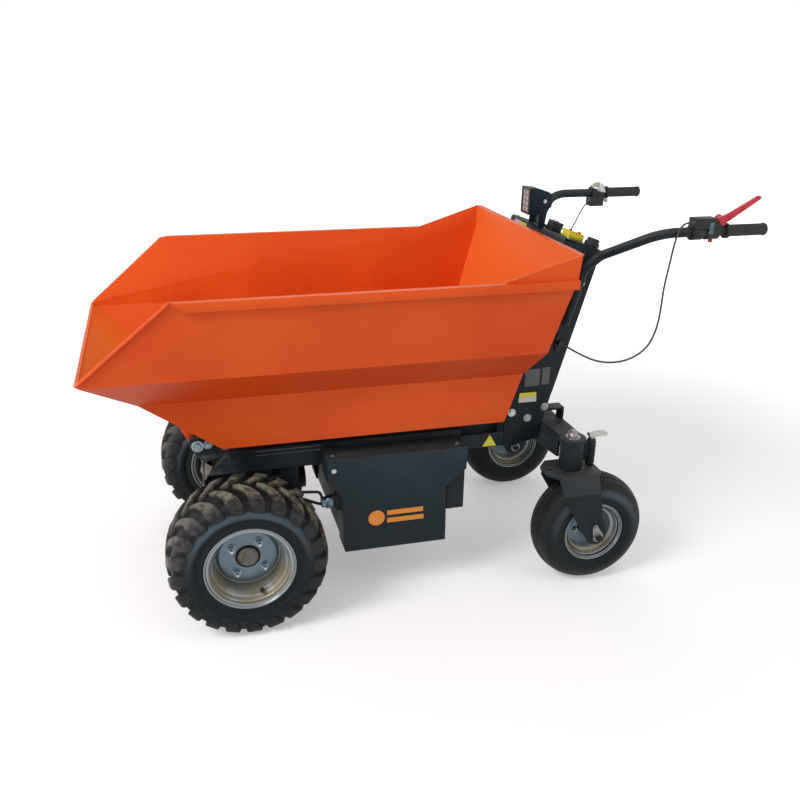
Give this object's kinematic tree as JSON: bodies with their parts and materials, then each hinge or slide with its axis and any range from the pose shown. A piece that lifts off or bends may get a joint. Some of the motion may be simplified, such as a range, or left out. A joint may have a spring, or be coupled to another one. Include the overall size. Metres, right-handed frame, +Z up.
{
  "type": "electric wheelbarrow",
  "caption": "Battery powered barrow with a steel tipping hopper on a low chassis, driven front wheels, swivel castors behind and a control column with handlebars.",
  "frame": {"origin": "on the ground under the middle of the object's bounding box", "axes": "+X forward towards the pouring lip, +Y to the driver's left, +Z up"},
  "size_m": [1.711, 0.763, 1.067],
  "materials": {
    "orange_paint": "gloss powder coat",
    "black_paint": "satin powder coat",
    "grey_paint": "fine textured powder coat",
    "tyre_rubber": "dusty rubber",
    "rim_silver": "silver paint",
    "grip_rubber": "matte moulded rubber",
    "bare_steel": "zinc plated",
    "chrome_rod": "polished",
    "black_plastic": "moulded",
    "red_plastic": "moulded",
    "lamp_black": "anodised casting",
    "cable_sheath": "smooth cable sheath",
    "cast_grey": "painted casting"
  },
  "bodies": {
    "chassis": {"rail_left": "black_paint", "rail_right": "black_paint", "rear_plate_left": "black_paint", "rear_plate_right": "black_paint", "castor_lock_left": "black_paint", "castor_lock_right": "black_paint", "battery_cover_left": "grey_paint", "battery_cover_right": "grey_paint", "handlebar_left": "black_paint", "handlebar_right": "black_paint", "grip_left": "grip_rubber", "grip_right": "grip_rubber", "castor_beam": "black_paint", "axle_cradle": "black_paint", "column": "black_paint", "tip_shaft": "bare_steel", "front_beam": "black_paint", "drive_axle": "cast_grey", "drive_motor": "cast_grey", "battery_case": "grey_paint", "console_top": "black_paint", "brake_clamp": "black_plastic", "brake_lever": "red_plastic", "throttle": "black_plastic", "headlight": "lamp_black", "console_controls": "black_plastic", "brake_cable": "cable_sheath", "throttle_cable": "cable_sheath"},
    "hopper": {"hopper_tub": "orange_paint", "tip_ears": "orange_paint", "hopper_subframe": "black_paint"},
    "lift_barrel": {"lift_cylinder": "black_paint"},
    "lift_piston": {"lift_rod": "chrome_rod"},
    "drive_wheel_left": {"drive_tyre_left": "tyre_rubber", "drive_rim_left": "rim_silver", "drive_hub_left": "bare_steel"},
    "castor_left": {"castor_fork_left": "black_paint"},
    "castor_wheel_left": {"castor_tyre_left": "tyre_rubber", "castor_rim_left": "rim_silver"},
    "drive_wheel_right": {"drive_tyre_right": "tyre_rubber", "drive_rim_right": "rim_silver", "drive_hub_right": "bare_steel"},
    "castor_right": {"castor_fork_right": "black_paint"},
    "castor_wheel_right": {"castor_tyre_right": "tyre_rubber", "castor_rim_right": "rim_silver"}
  },
  "joints": [
    {"name": "hopper_tip", "type": "hinge", "parent": "chassis", "child": "hopper", "pos_m": [0.6, 0, 0.463], "axis": [0, 1, 0], "range_deg": [0, 50]},
    {"name": "lift_swing", "type": "hinge", "parent": "chassis", "child": "lift_barrel", "pos_m": [0.366, 0, 0.2], "axis": [0, 1, 0], "range_deg": [-6, 6]},
    {"name": "lift_slide", "type": "slide", "parent": "lift_barrel", "child": "lift_piston", "axis": [0.435, 0, 0.9004], "range_m": [0, 0.106]},
    {"name": "drive_wheel_left_spin", "type": "hinge", "parent": "chassis", "child": "drive_wheel_left", "pos_m": [0.5, 0.2985, 0.203], "axis": [0, 1, 0], "continuous": true},
    {"name": "castor_left_swivel", "type": "hinge", "parent": "chassis", "child": "castor_left", "pos_m": [-0.384, 0.2965, 0.343], "axis": [0, 0, 1], "continuous": true},
    {"name": "castor_wheel_left_spin", "type": "hinge", "parent": "castor_left", "child": "castor_wheel_left", "pos_m": [-0.449, 0.2965, 0.1595], "axis": [0, 1, 0], "continuous": true},
    {"name": "drive_wheel_right_spin", "type": "hinge", "parent": "chassis", "child": "drive_wheel_right", "pos_m": [0.5, -0.2985, 0.203], "axis": [0, 1, 0], "continuous": true},
    {"name": "castor_right_swivel", "type": "hinge", "parent": "chassis", "child": "castor_right", "pos_m": [-0.384, -0.2965, 0.343], "axis": [0, 0, 1], "continuous": true},
    {"name": "castor_wheel_right_spin", "type": "hinge", "parent": "castor_right", "child": "castor_wheel_right", "pos_m": [-0.449, -0.2965, 0.1595], "axis": [0, 1, 0], "continuous": true}
  ],
  "couplings": [
    {"joint": "lift_swing", "follows": "hopper_tip", "ratio": -0.1054},
    {"joint": "lift_slide", "follows": "hopper_tip", "m_per_rad": 0.1142}
  ]
}
